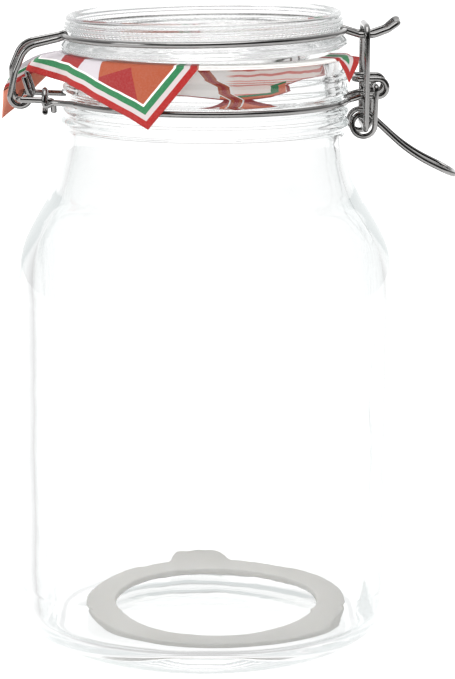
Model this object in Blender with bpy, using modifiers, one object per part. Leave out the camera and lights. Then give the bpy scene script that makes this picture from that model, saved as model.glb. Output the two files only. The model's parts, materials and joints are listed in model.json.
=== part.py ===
"""A bail clamp jar: square glass body, hinged glass lid, three bent wires, a sealing ring and a printed leaflet.

The origin is the centre of the flat base, +Z is up and +X points to the latch. All lengths are metres.
"""

import math

import bmesh
import bpy
from mathutils import Matrix, Vector

MM = 0.001

# Glass body
HALF_WIDTH = 68.3 * MM
CORNER_RADIUS = 40.0 * MM
BODY_LOW_Z = 27.0 * MM
WALL = 4.4 * MM
FLOOR = 7.0 * MM
NECK_RADIUS = 52.2 * MM
COLLAR_RADIUS = 52.6 * MM
MOUTH_RADIUS = 45.5 * MM
RIM_TOP = 219.0 * MM
RIM_CHAMFER = 0.8 * MM
RING_SIDES = 48

# Wires
WIRE = 1.1 * MM
LEVER_WIRE = 1.0 * MM
NECK_WIRE_Z = 202.3 * MM
NECK_WIRE_RADIUS = 52.4 * MM
GROOVE_RADIUS = 50.8 * MM
GROOVE_HALF = 2.8 * MM
BEND_STEPS = 4

# Hinge: the crossbar is the axis
HINGE_X = -68.0 * MM
HINGE_Z = 202.8 * MM
LEG_Y = 12.6 * MM
ARM_Y = 9.7 * MM
EYE_X = -58.3 * MM
EYE_RADIUS = 4.0 * MM
HOOK_RADIUS = 3.7 * MM
HOOK_STEPS = 8
FAR_LEAN = 2.2 * MM
LID_TILT = math.radians(1.3)

# Lid, in its closed position before the tilt
LID_Z = 219.4 * MM
LID_FLANGE_RADIUS = 52.6 * MM
LID_HEIGHT = 12.9 * MM
LID_WIRE_Z = LID_Z + 5.6 * MM
LID_WIRE_RADIUS = 51.6 * MM
LID_GROOVE_RADIUS = 49.9 * MM
PLUG_RADIUS = 39.0 * MM
PLUG_DEPTH = 5.0 * MM

# Latch
EAR_Y = 7.5 * MM
EAR_TOP_Z = 210.1 * MM
EAR_LOW_Z = 203.8 * MM
EAR_END_X = 66.3 * MM
EAR_BAR_X = 54.6 * MM
PIVOT = Vector((62.4 * MM, 0, 207.4 * MM))
LINK_AXIS = Vector((58.6 * MM, 0, 192.0 * MM))
LINK_TOP_Z = 229.4 * MM
LINK_Y = 12.4 * MM
LEVER_Y = 10.0 * MM
LEVER_EYE = Vector((57.9 * MM, 0, 193.4 * MM))
LEVER_EYE_RADIUS = 4.1 * MM
LEVER_INNER_Y = 7.2 * MM
HANDLE_Y = 9.5 * MM
HANDLE_BEND = Vector((75.6 * MM, 0, 182.8 * MM))
HANDLE_TIP = Vector((92.4 * MM, 0, 174.6 * MM))
NOSE_Y = 6.0 * MM
NOSE_Z = 226.1 * MM
NOSE_TIP = Vector((70.4 * MM, 0, 230.2 * MM))
FAR_LIFT = 1.6 * MM

# Sealing ring, lying loose on the floor of the jar
GASKET_CENTRE = Vector((4.0 * MM, -4.0 * MM, 0))
GASKET_OUTER = 50.0 * MM
GASKET_INNER = 38.5 * MM
GASKET_THICKNESS = 2.6 * MM
TAB_HALF_WIDTH = 11.0 * MM
TAB_LENGTH = 13.0 * MM
TAB_TURN = math.radians(5)
TAB_PROP = math.radians(1.6)
GAP = 0.3 * MM

# Leaflet
SHEET = 0.25 * MM
SHEET_Z = RIM_TOP + 0.33 * MM


def clear_scene():
    for obj in list(bpy.data.objects):
        bpy.data.objects.remove(obj, do_unlink=True)


def collection_of(name):
    collection = bpy.data.collections.new(name)
    bpy.context.scene.collection.children.link(collection)
    return collection


def material(name, color, roughness, metallic=0.0, transmission=0.0):
    made = bpy.data.materials.new(name)
    made.use_nodes = True
    shader = made.node_tree.nodes["Principled BSDF"]
    shader.inputs["Base Color"].default_value = (*color, 1.0)
    shader.inputs["Roughness"].default_value = roughness
    shader.inputs["Metallic"].default_value = metallic
    shader.inputs["Transmission Weight"].default_value = transmission
    return made


def add_object(name, data, collection, finish, parent=None):
    obj = bpy.data.objects.new(name, data)
    obj.data.materials.append(finish)
    collection.objects.link(obj)
    if parent is not None:
        obj.parent = parent
        obj.matrix_parent_inverse = Matrix.Translation(-parent.location)
    return obj


def joint_empty(name, location, collection):
    """An empty on a joint's axis, for the pieces that turn about it."""
    empty = bpy.data.objects.new(name, None)
    empty.location = location
    empty.empty_display_size = 10 * MM
    collection.objects.link(empty)
    return empty


def smooth(mesh, angle_deg=40):
    mesh.shade_smooth()
    mesh.set_sharp_from_angle(angle=math.radians(angle_deg))


# Paths for the wires -------------------------------------------------------------------------------


def ring_point(radius, azimuth_deg, z):
    angle = math.radians(azimuth_deg)
    return Vector((radius * math.cos(angle), radius * math.sin(angle), z))


def ring_arc(radius, z, start_deg, end_deg, step_deg=7.5):
    count = max(1, round(abs(end_deg - start_deg) / step_deg))
    return [
        (ring_point(radius, start_deg + (end_deg - start_deg) * i / count, z), 0.0)
        for i in range(count + 1)
    ]


def rounded(corners):
    """The path through (point, bend radius) pairs, with an arc in place of each corner that has a radius."""
    path = []
    for i, (corner, radius) in enumerate(corners):
        if radius == 0.0 or i in (0, len(corners) - 1):
            path.append(corner)
            continue
        before = (corners[i - 1][0] - corner).normalized()
        after = (corners[i + 1][0] - corner).normalized()
        half = before.angle(after) / 2
        reach = radius / math.tan(half)
        centre = corner + (before + after).normalized() * radius / math.sin(half)
        first = corner + before * reach - centre
        last = corner + after * reach - centre
        turn = first.angle(last)
        axis = first.cross(last).normalized()
        for step in range(BEND_STEPS + 1):
            path.append(centre + Matrix.Rotation(turn * step / BEND_STEPS, 3, axis) @ first)
    return path


def mirrored(points):
    """The same points on the other side of the XZ plane, in reverse order."""
    return [(Vector((p.x, -p.y, p.z)), r) for p, r in reversed(points)]


def wire(name, path, radius, cyclic, collection, finish, parent=None):
    """A round wire along the path, as a curve with filled ends."""
    curve = bpy.data.curves.new(name, "CURVE")
    curve.dimensions = "3D"
    curve.bevel_depth = radius
    curve.bevel_resolution = 2
    curve.use_fill_caps = not cyclic
    curve.twist_mode = "MINIMUM"
    spline = curve.splines.new("POLY")
    spline.points.add(len(path) - 1)
    for point, place in zip(spline.points, path):
        point.co = (*place, 1.0)
    spline.use_cyclic_u = cyclic
    return add_object(name, curve, collection, finish, parent)


# Glass body ----------------------------------------------------------------------------------------


def square_ring(bm, half_width, corner, z):
    """A ring of vertices round a square with rounded corners; it is a circle where the two sizes agree."""
    centre = half_width - corner
    ring = []
    for i in range(RING_SIDES):
        angle = 2 * math.pi * i / RING_SIDES
        c, s = abs(math.cos(angle)), abs(math.sin(angle))
        reach = half_width / max(c, s)
        if min(c, s) * reach > centre:
            along = centre * (c + s)
            reach = along + math.sqrt(along**2 - 2 * centre**2 + corner**2)
        ring.append(bm.verts.new((reach * math.cos(angle), reach * math.sin(angle), z)))
    return ring


def shoulder_sections(inset):
    """(half width, corner radius, height) from the straight body to the foot of the neck."""
    outer = (
        (68.3, 40.0, 138.0),
        (67.6, 41.5, 146.0),
        (65.6, 44.5, 153.0),
        (61.8, 49.0, 160.0),
        (57.2, 53.0, 167.5),
        (54.4, 54.0, 175.5),
        (52.8, 52.8, 183.0),
    )
    return [((w * MM - inset), (r * MM - inset), z * MM) for w, r, z in outer]


def foot_sections():
    """The outside, upwards from the round foot until it has become the rounded square of the body."""
    outer = (
        (59.5, 59.5, 0.0),
        (61.5, 60.5, 1.0),
        (64.0, 59.0, 3.6),
        (66.2, 54.0, 8.0),
        (67.5, 48.0, 14.0),
        (68.2, 43.0, 20.0),
    )
    return [(w * MM, r * MM, z * MM) for w, r, z in outer] + [(HALF_WIDTH, CORNER_RADIUS, BODY_LOW_Z)]


def floor_sections():
    """The inside, from the edge of the floor up to the straight wall."""
    inner = (
        (57.0, 50.0, 7.0),
        (61.0, 49.5, 9.0),
        (63.0, 45.0, 13.0),
        (63.8, 39.5, 19.0),
    )
    sections = [(w * MM, r * MM, z * MM) for w, r, z in inner]
    return sections + [(HALF_WIDTH - WALL, CORNER_RADIUS - WALL, BODY_LOW_Z)]


def neck_sections():
    """The outside of the neck, upwards from its foot, then over the rim and down inside the mouth."""
    radii = (
        (NECK_RADIUS, 190 * MM),
        (NECK_RADIUS, 196 * MM),
        (COLLAR_RADIUS, 197.5 * MM),
        (COLLAR_RADIUS, NECK_WIRE_Z - GROOVE_HALF),
        (GROOVE_RADIUS, NECK_WIRE_Z - GROOVE_HALF + 1.0 * MM),
        (GROOVE_RADIUS, NECK_WIRE_Z + GROOVE_HALF - 1.0 * MM),
        (COLLAR_RADIUS, NECK_WIRE_Z + GROOVE_HALF),
        (COLLAR_RADIUS, RIM_TOP - RIM_CHAMFER),
        (COLLAR_RADIUS - RIM_CHAMFER, RIM_TOP),
        (MOUTH_RADIUS + RIM_CHAMFER, RIM_TOP),
        (MOUTH_RADIUS, RIM_TOP - RIM_CHAMFER),
        (MOUTH_RADIUS, 206 * MM),
        (MOUTH_RADIUS + 1.5 * MM, 198 * MM),
        (NECK_RADIUS - WALL, 186 * MM),
    )
    return [(r, r, z) for r, z in radii]


def build_jar_body(collection, finish):
    sections = foot_sections()
    sections += shoulder_sections(0.0)
    sections += neck_sections()
    sections += list(reversed(shoulder_sections(WALL)))[1:]
    sections += reversed(floor_sections())
    bm = bmesh.new()
    rings = [square_ring(bm, *section) for section in sections]
    for lower, upper in zip(rings, rings[1:]):
        for i in range(RING_SIDES):
            j = (i + 1) % RING_SIDES
            bm.faces.new((lower[i], lower[j], upper[j], upper[i]))
    bm.faces.new(reversed(rings[0]))
    bm.faces.new(rings[-1])
    mesh = bpy.data.meshes.new("jar_body")
    bm.to_mesh(mesh)
    bm.free()
    smooth(mesh)
    return add_object("jar_body", mesh, collection, finish)


# Lid -----------------------------------------------------------------------------------------------


def build_lid(collection, finish, hinge):
    """A turned piece: its profile runs from the middle of the top, down the outside, to the middle below."""
    rim_top = LID_Z + LID_HEIGHT
    dish = LID_Z + 7.5 * MM
    profile = (
        (0.0, dish),
        (44.5 * MM, dish),
        (46.5 * MM, dish + 1.5 * MM),
        (47.6 * MM, rim_top - 0.5 * MM),
        (48.6 * MM, rim_top),
        (49.6 * MM, rim_top),
        (50.5 * MM, rim_top - 0.8 * MM),
        (51.0 * MM, LID_WIRE_Z + 2.2 * MM),
        (LID_GROOVE_RADIUS, LID_WIRE_Z + 1.3 * MM),
        (LID_GROOVE_RADIUS, LID_WIRE_Z - 1.3 * MM),
        (52.0 * MM, LID_WIRE_Z - 2.3 * MM),
        (LID_FLANGE_RADIUS, LID_WIRE_Z - 3.0 * MM),
        (LID_FLANGE_RADIUS, LID_Z + 0.8 * MM),
        (LID_FLANGE_RADIUS - 0.8 * MM, LID_Z),
        (PLUG_RADIUS + 2.0 * MM, LID_Z),
        (PLUG_RADIUS + 0.5 * MM, LID_Z - 1.0 * MM),
        (PLUG_RADIUS, LID_Z - PLUG_DEPTH + 0.6 * MM),
        (PLUG_RADIUS - 0.6 * MM, LID_Z - PLUG_DEPTH),
        (PLUG_RADIUS - 4.0 * MM, LID_Z - PLUG_DEPTH),
        (PLUG_RADIUS - 8.0 * MM, LID_Z + 1.0 * MM),
        (0.0, LID_Z + 1.8 * MM),
    )
    mesh = bpy.data.meshes.new("lid")
    mesh.from_pydata([(r, 0, z) for r, z in profile], [(i, i + 1) for i in range(len(profile) - 1)], [])
    lid = add_object("lid", mesh, collection, finish, hinge)
    turned = lid.modifiers.new("Turned", "SCREW")
    turned.steps = turned.render_steps = RING_SIDES
    turned.use_merge_vertices = True
    turned.merge_threshold = 0.0001
    turned.use_smooth_shade = True
    return lid


# Wires ---------------------------------------------------------------------------------------------


def lid_wire_half(lean, lift):
    """One side, from its stub: hook, arm, half ring and a side of the thumb loop, all given on the far side.

    The lean sets the arm further back, and the lift raises the tip of the thumb loop.
    """
    hook_x = HINGE_X + 0.6 * MM
    hook_z = HINGE_Z + 1.0 * MM
    turn_deg = math.degrees(math.asin(ARM_Y / LID_WIRE_RADIUS))
    hook = [(Vector((hook_x + 1.7 * MM, ARM_Y, HINGE_Z + 8.0 * MM)), 0.0)]
    for step in range(HOOK_STEPS + 1):
        angle = -math.pi * step / HOOK_STEPS
        place = (hook_x + HOOK_RADIUS * math.cos(angle), ARM_Y, hook_z + HOOK_RADIUS * math.sin(angle))
        hook.append((Vector(place), 0.0))
    arm = [
        (Vector((-69.0 * MM - lean, ARM_Y, 212.5 * MM)), 6 * MM),
        (Vector((-65.0 * MM - lean, ARM_Y, 221.6 * MM)), 8 * MM),
        (Vector((-53.0 * MM, ARM_Y, 224.2 * MM)), 3 * MM),
        (ring_point(LID_WIRE_RADIUS, 180 - turn_deg, LID_WIRE_Z), 1.2 * MM),
    ]
    ring_end = math.degrees(math.asin(NOSE_Y / LID_WIRE_RADIUS))
    half_ring = ring_arc(LID_WIRE_RADIUS, LID_WIRE_Z, 164, ring_end + 5)
    nose_tip = closed_position(NOSE_TIP)
    nose = [
        (ring_point(LID_WIRE_RADIUS, ring_end, LID_WIRE_Z), 1.2 * MM),
        (closed_position(Vector((56.0 * MM, NOSE_Y, NOSE_Z))), 2 * MM),
        (closed_position(Vector((61.5 * MM, NOSE_Y + 0.6 * MM, NOSE_Z))), 4 * MM),
        (closed_position(Vector((66.5 * MM, NOSE_Y, NOSE_Z + 1.8 * MM))), 3 * MM),
        (Vector((nose_tip.x, 3.4 * MM, nose_tip.z + lift)), 2.2 * MM),
    ]
    return hook + arm + half_ring + nose


def lid_wire_path():
    """From the far stub to the near stub. The wire is bent by hand, so its far side is a little different."""
    far = lid_wire_half(FAR_LEAN, FAR_LIFT)
    near = lid_wire_half(0.0, 0.0)
    return rounded(far + [(closed_position(NOSE_TIP), 0.0)] + mirrored(near))


def closed_position(place):
    """Where a point of the tilted lid lies before the tilt."""
    hinge = Vector((HINGE_X, 0, HINGE_Z))
    return hinge + Matrix.Rotation(LID_TILT, 3, "Y") @ (place - hinge)


def neck_wire_path():
    """From the eye on the near leg: half ring, near ear, far ear, half ring, bracket, near leg through the eye."""
    eye = []
    for step in range(15):
        angle = math.radians(-115 + 295 * step / 14)
        place = (EYE_X, -LEG_Y + EYE_RADIUS * math.cos(angle), NECK_WIRE_Z + EYE_RADIUS * math.sin(angle))
        eye.append((Vector(place), 0.0))
    eye_foot = Vector((EYE_X, -LEG_Y - EYE_RADIUS, NECK_WIRE_Z - 1.6 * MM))
    eye_exit = Vector((EYE_X + 3.5 * MM, -LEG_Y - EYE_RADIUS - 0.8 * MM, NECK_WIRE_Z))
    front = ring_arc(NECK_WIRE_RADIUS, NECK_WIRE_Z, 205, 345)
    root_deg = math.degrees(math.asin(EAR_Y / NECK_WIRE_RADIUS))
    ear = [
        (ring_point(NECK_WIRE_RADIUS, 360 - root_deg, NECK_WIRE_Z), 1.6 * MM),
        (Vector((57.0 * MM, -EAR_Y, EAR_LOW_Z)), 2.5 * MM),
        (Vector((EAR_END_X, -EAR_Y, EAR_LOW_Z)), 3.1 * MM),
        (Vector((EAR_END_X, -EAR_Y, EAR_TOP_Z)), 3.1 * MM),
        (Vector((EAR_BAR_X, -EAR_Y, EAR_TOP_Z)), 2.0 * MM),
    ]
    back = ring_arc(NECK_WIRE_RADIUS, NECK_WIRE_Z, 15, 160)
    leg_root_x = -math.sqrt(NECK_WIRE_RADIUS**2 - LEG_Y**2)
    bracket = [
        (Vector((leg_root_x - 1.0 * MM, LEG_Y, NECK_WIRE_Z)), 2.4 * MM),
        (Vector((HINGE_X, LEG_Y, HINGE_Z)), 1.8 * MM),
        (Vector((HINGE_X, -LEG_Y, HINGE_Z)), 1.8 * MM),
        (Vector((EYE_X + 3.0 * MM, -LEG_Y, NECK_WIRE_Z + 0.2 * MM)), 1.6 * MM),
        (Vector((EYE_X + 3.2 * MM, -LEG_Y + 0.3 * MM, NECK_WIRE_Z - 4.2 * MM)), 0.0),
    ]
    start = eye + [(eye_foot, 0.8 * MM), (eye_exit, 1.5 * MM)]
    return rounded(start + front + ear + mirrored(ear) + back + bracket)


def link_path():
    corners = [
        (Vector((LINK_AXIS.x, 0, LINK_AXIS.z)), 0.0),
        (Vector((LINK_AXIS.x, LINK_Y, LINK_AXIS.z)), 2.4 * MM),
        (Vector((LINK_AXIS.x, LINK_Y, LINK_TOP_Z)), 4.6 * MM),
        (Vector((LINK_AXIS.x, -LINK_Y, LINK_TOP_Z)), 4.6 * MM),
        (Vector((LINK_AXIS.x, -LINK_Y, LINK_AXIS.z)), 2.4 * MM),
        (Vector((LINK_AXIS.x, 0, LINK_AXIS.z)), 0.0),
    ]
    return rounded(corners)[:-1]


def lever_path():
    """From the near pin: leg, eye, handle, and the same again on the far side."""
    pin_end = Vector((PIVOT.x, -EAR_Y + 2.4 * MM, PIVOT.z))
    half = [
        (pin_end, 0.0),
        (Vector((PIVOT.x, -LEVER_Y, PIVOT.z)), 1.4 * MM),
        (Vector((LEVER_EYE.x + LEVER_EYE_RADIUS, -LEVER_Y, LEVER_EYE.z + 2.0 * MM)), 0.0),
    ]
    leave_deg = 47
    steps = 18
    for step in range(steps + 1):
        angle = -math.radians((360 - leave_deg) * step / steps)
        place = (
            LEVER_EYE.x + LEVER_EYE_RADIUS * math.cos(angle),
            -LEVER_Y + (LEVER_Y - LEVER_INNER_Y) * step / steps,
            LEVER_EYE.z + LEVER_EYE_RADIUS * math.sin(angle),
        )
        half.append((Vector(place), 0.0))
    half += [
        (Vector((HANDLE_BEND.x, -HANDLE_Y, HANDLE_BEND.z)), 55 * MM),
        (Vector((HANDLE_TIP.x, -HANDLE_Y, HANDLE_TIP.z)), 7 * MM),
    ]
    return rounded(half + mirrored(half))


# Soft pieces ---------------------------------------------------------------------------------------


def build_gasket(collection, finish):
    """A flat ring with a pull tab, as a flat outline with a round hole."""
    curve = bpy.data.curves.new("gasket", "CURVE")
    curve.dimensions = "2D"
    curve.fill_mode = "BOTH"
    curve.extrude = GASKET_THICKNESS / 2
    join_deg = math.degrees(math.asin(TAB_HALF_WIDTH / GASKET_OUTER)) + 6
    outer = [
        ring_point(GASKET_OUTER, 90 + join_deg + (360 - 2 * join_deg) * i / 44, 0) for i in range(45)
    ]
    for step in range(1, 10):
        angle = math.pi * step / 10
        outer.append(
            Vector((TAB_HALF_WIDTH * math.cos(angle), GASKET_OUTER + TAB_LENGTH * math.sin(angle) - 0.8 * MM, 0))
        )
    inner = [ring_point(GASKET_INNER, 360 * i / RING_SIDES, 0) for i in range(RING_SIDES)]
    for outline in (outer, inner):
        spline = curve.splines.new("POLY")
        spline.points.add(len(outline) - 1)
        for point, place in zip(spline.points, outline):
            point.co = (*place, 1.0)
        spline.use_cyclic_u = True
    gasket = add_object("gasket", curve, collection, finish)
    rise = GASKET_OUTER * math.sin(TAB_PROP)
    gasket.location = GASKET_CENTRE + Vector((0, 0, FLOOR + GAP + GASKET_THICKNESS / 2 + rise))
    gasket.rotation_euler = (TAB_PROP, 0, TAB_TURN)
    return gasket


def between(azimuth, stations):
    """Linear interpolation in a list of (azimuth, value, ...) stations."""
    for first, last in zip(stations, stations[1:]):
        if azimuth <= last[0]:
            share = (azimuth - first[0]) / (last[0] - first[0])
            return [a + (b - a) * share for a, b in zip(first[1:], last[1:])]
    return list(stations[-1][1:])


def drooping(start, end, steps=3):
    """(radius, height) points of a sheet that leaves the rim almost level and then bends down to its hem."""
    bend = (start[0] + (end[0] - start[0]) * 0.8, start[1] + (end[1] - start[1]) * 0.12)
    return tuple(
        tuple(
            (1 - t) ** 2 * a + 2 * t * (1 - t) * b + t**2 * c
            for a, b, c in zip(start, bend, end)
        )
        for t in (i / steps for i in range(steps + 1))
    )


def build_leaflet(collection, finish):
    """A sheet caught on the rim: one edge hangs in the mouth, the other hangs outside in four corners."""
    outer_hem = (
        (146, 53.4, 218.5),
        (156, 58.0, 214.5),
        (162, 70.5, 199.0),
        (168.5, 76.5, 192.5),
        (169.2, 76.0, 203.0),
        (169.9, 62.5, 211.0),
        (174, 60.0, 214.0),
        (178, 65.5, 213.5),
        (183, 65.5, 212.5),
        (187, 61.5, 211.8),
        (192, 55.6, 210.2),
        (204, 54.7, 210.2),
        (216, 54.8, 208.2),
        (228, 54.8, 204.9),
        (240, 54.9, 200.6),
        (248, 55.0, 196.9),
        (266, 53.6, 218.0),
        (333, 53.4, 218.5),
        (337, 56.0, 210.3),
        (345, 57.0, 216.5),
        (351, 56.5, 218.3),
        (353, 53.4, 218.6),
    )
    inner_hem = (
        (146, 44.0, 215.5),
        (200, 43.6, 214.0),
        (235, 43.2, 210.0),
        (262, 43.2, 208.0),
        (283, 43.2, 204.8),
        (300, 43.4, 206.5),
        (318, 43.8, 213.0),
        (353, 44.0, 216.0),
    )
    azimuths = sorted({146 + 4 * i for i in range(52)} | {station[0] for station in outer_hem})
    bm = bmesh.new()
    columns = []
    for azimuth in azimuths:
        out_r, out_z = between(azimuth, outer_hem)
        in_r, in_z = between(azimuth, inner_hem)
        profile = (
            (in_r * MM, in_z * MM),
            (44.6 * MM, SHEET_Z - 0.8 * MM),
            (46.0 * MM, SHEET_Z),
            (52.2 * MM, SHEET_Z),
        ) + drooping((53.2 * MM, SHEET_Z - 0.75 * MM), (out_r * MM, out_z * MM))
        columns.append([bm.verts.new(ring_point(r, azimuth, z)) for r, z in profile])
    for left, right in zip(columns, columns[1:]):
        for i in range(len(left) - 1):
            bm.faces.new((left[i], left[i + 1], right[i + 1], right[i]))
    mesh = bpy.data.meshes.new("leaflet")
    bm.to_mesh(mesh)
    bm.free()
    leaflet = add_object("leaflet", mesh, collection, finish)
    thick = leaflet.modifiers.new("Thickness", "SOLIDIFY")
    thick.thickness = SHEET
    thick.offset = 0.0
    return leaflet


def main():
    clear_scene()
    parts = collection_of("bail_clamp_jar")
    glass = material("clear_glass", (0.96, 0.98, 0.98), 0.03, transmission=1.0)
    steel = material("steel_wire", (0.62, 0.62, 0.62), 0.25, metallic=1.0)
    rubber = material("pale_rubber", (0.80, 0.78, 0.75), 0.6)
    paper = material("printed_paper", (0.84, 0.70, 0.66), 0.6)

    hinge = joint_empty("lid_hinge_axis", (HINGE_X, 0, HINGE_Z), parts)
    lever_axis = joint_empty("lever_axis", PIVOT, parts)
    link_axis = joint_empty("link_axis", LINK_AXIS, parts)

    build_jar_body(parts, glass)
    wire("neck_wire", neck_wire_path(), WIRE, False, parts, steel)
    build_lid(parts, glass, hinge)
    wire("lid_wire", lid_wire_path(), WIRE, False, parts, steel, hinge)
    wire("lever", lever_path(), LEVER_WIRE, False, parts, steel, lever_axis)
    wire("tension_link", link_path(), WIRE, True, parts, steel, link_axis)
    build_gasket(parts, rubber)
    build_leaflet(parts, paper)
    hinge.rotation_euler = (0, -LID_TILT, 0)


main()
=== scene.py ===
"""Looks for the bail clamp jar: fine glass, wire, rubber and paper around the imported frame.

Positions are metres in the frame's own axes: the base stands at z = 0 and +X points to the latch.
"""

import json
import math

import bmesh
import bpy
from mathutils import Matrix, Vector, noise


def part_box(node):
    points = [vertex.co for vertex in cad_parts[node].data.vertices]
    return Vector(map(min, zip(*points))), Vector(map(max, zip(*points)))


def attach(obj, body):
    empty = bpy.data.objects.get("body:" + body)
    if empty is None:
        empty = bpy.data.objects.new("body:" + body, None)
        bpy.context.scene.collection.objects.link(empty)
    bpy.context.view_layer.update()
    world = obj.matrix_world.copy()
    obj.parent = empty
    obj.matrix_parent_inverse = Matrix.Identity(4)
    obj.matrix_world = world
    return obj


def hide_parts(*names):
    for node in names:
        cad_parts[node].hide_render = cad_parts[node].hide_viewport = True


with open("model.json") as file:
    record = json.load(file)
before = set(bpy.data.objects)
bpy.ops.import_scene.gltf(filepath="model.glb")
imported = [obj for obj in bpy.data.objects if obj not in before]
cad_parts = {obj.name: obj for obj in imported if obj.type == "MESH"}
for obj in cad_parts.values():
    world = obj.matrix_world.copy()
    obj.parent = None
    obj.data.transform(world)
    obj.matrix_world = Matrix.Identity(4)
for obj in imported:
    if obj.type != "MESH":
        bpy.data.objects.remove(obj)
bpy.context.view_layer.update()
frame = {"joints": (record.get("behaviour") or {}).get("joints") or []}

MM = 0.001
JOINTS = {joint["name"]: joint for joint in frame["joints"]}
HINGE = Vector(JOINTS["lid_hinge"]["pos_m"])
PIVOT = Vector(JOINTS["lever_pivot"]["pos_m"])
LINK_AXIS = Vector(JOINTS["link_pivot"]["pos_m"])
HALF_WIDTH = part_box("jar_body")[1].x
RIM_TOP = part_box("jar_body")[1].z
GASKET_LOW, GASKET_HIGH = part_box("gasket")

# Glass body
CORNER_RADIUS = 40.0 * MM
WALL = 4.4 * MM
CAVITY_SHIFT = 1.1 * MM
FACE_DENT = 0.7 * MM
NECK_RADIUS = 52.2 * MM
COLLAR_RADIUS = 52.6 * MM
MOUTH_RADIUS = 45.5 * MM
BODY_SIDES = 192
LID_SIDES = 480

# Glass shader: how many times a ray may meet glass before its tint stops, and before it ends
TINTED_MEETINGS = 3.5
LONG_PATH = 9.5

# Wires
WIRE = 1.1 * MM
LEVER_WIRE = 1.0 * MM
WIRE_SIDES = 24
BEND_STEPS = 10
NECK_WIRE_Z = 202.3 * MM
NECK_WIRE_RADIUS = 52.4 * MM
GROOVE_RADIUS = 50.8 * MM
GROOVE_HALF = 2.8 * MM
LEG_Y = 12.6 * MM
ARM_Y = 9.7 * MM
EYE_X = -58.3 * MM
EYE_RADIUS = 4.0 * MM
HOOK_RADIUS = 3.7 * MM
HOOK_STEPS = 24
FAR_LEAN = 2.2 * MM

# Lid, before it is tilted about the hinge
LID_TILT = math.radians(1.3)
LID_Z = RIM_TOP + 0.4 * MM
LID_FLANGE_RADIUS = 52.6 * MM
LID_HEIGHT = 12.9 * MM
LID_WIRE_Z = LID_Z + 5.6 * MM
LID_WIRE_RADIUS = 51.6 * MM
LID_GROOVE_RADIUS = 49.9 * MM
PLUG_RADIUS = 39.0 * MM
PLUG_DEPTH = 5.0 * MM

# Latch
EAR_Y = 7.5 * MM
EAR_TOP_Z = 210.1 * MM
EAR_LOW_Z = 203.8 * MM
EAR_END_X = 66.3 * MM
EAR_BAR_X = 54.6 * MM
LINK_TOP_Z = 229.4 * MM
LINK_Y = 12.4 * MM
LEVER_Y = 10.0 * MM
LEVER_EYE = Vector((57.9 * MM, 0, 193.4 * MM))
LEVER_EYE_RADIUS = 4.1 * MM
LEVER_INNER_Y = 7.2 * MM
HANDLE_Y = 9.5 * MM
HANDLE_BEND = Vector((75.6 * MM, 0, 182.8 * MM))
HANDLE_TIP = Vector((92.4 * MM, 0, 174.6 * MM))
NOSE_Y = 6.0 * MM
NOSE_Z = 226.1 * MM
NOSE_TIP = Vector((70.4 * MM, 0, 230.2 * MM))
FAR_LIFT = 1.6 * MM

# Soft pieces
GASKET_OUTER = 50.0 * MM
GASKET_INNER = 38.5 * MM
TAB_HEIGHT = 13.0 * MM
TAB_TURN_DEG = 5.0
TAB_PROP = math.radians(1.6)
GASKET_THICKNESS = 2.6 * MM
SHEET_Z = RIM_TOP + 0.33 * MM
SHEET = 0.2 * MM


# Shader graphs -------------------------------------------------------------------------------------


def srgb(red, green, blue):
    """A linear colour from 0-255 values."""
    return tuple(
        (v / 255 / 12.92 if v < 10.3 else ((v / 255 + 0.055) / 1.055) ** 2.4) for v in (red, green, blue)
    )


class Graph:
    """Short forms for the nodes that the materials use."""

    def __init__(self, tree):
        self.tree = tree

    def feed(self, socket, value):
        if isinstance(value, bpy.types.NodeSocket):
            self.tree.links.new(value, socket)
        else:
            socket.default_value = value

    def add(self, kind, inputs=None, **settings):
        made = self.tree.nodes.new("ShaderNode" + kind)
        for key, value in settings.items():
            setattr(made, key, value)
        for key, value in (inputs or {}).items():
            self.feed(made.inputs[key], value)
        return made

    def math(self, operation, *values):
        made = self.add("Math", operation=operation)
        for socket, value in zip(made.inputs, values):
            self.feed(socket, value)
        return made.outputs[0]

    def mix(self, factor, first, second, kind="MIX"):
        made = self.add("Mix", data_type="RGBA", blend_type=kind)
        for index, value in ((0, factor), (6, first), (7, second)):
            if isinstance(value, tuple):
                value = (*value, 1.0)[:4]
            self.feed(made.inputs[index], value)
        return made.outputs[2]

    def ramp(self, value, low, high, to_low=0.0, to_high=1.0):
        """A smooth step of the value from low to high."""
        made = self.add("MapRange", interpolation_type="SMOOTHSTEP")
        for socket, number in zip(made.inputs, (value, low, high, to_low, to_high)):
            self.feed(socket, number)
        return made.outputs[0]

    def noise(self, vector, scale, detail=2.0, roughness=0.5):
        made = self.add("TexNoise", {"Scale": scale, "Detail": detail, "Roughness": roughness})
        self.feed(made.inputs["Vector"], vector)
        return made.outputs["Fac"]

    def bump(self, height, strength, distance):
        made = self.add("Bump", {"Strength": strength, "Distance": distance})
        self.feed(made.inputs["Height"], height)
        return made.outputs["Normal"]

    def attribute(self, name):
        return self.add("Attribute", attribute_name=name).outputs["Fac"]


def new_material(name):
    """The material, its graph and its Principled shader."""
    made = bpy.data.materials.new(name)
    made.use_nodes = True
    graph = Graph(made.node_tree)
    return made, graph, made.node_tree.nodes["Principled BSDF"]


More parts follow.
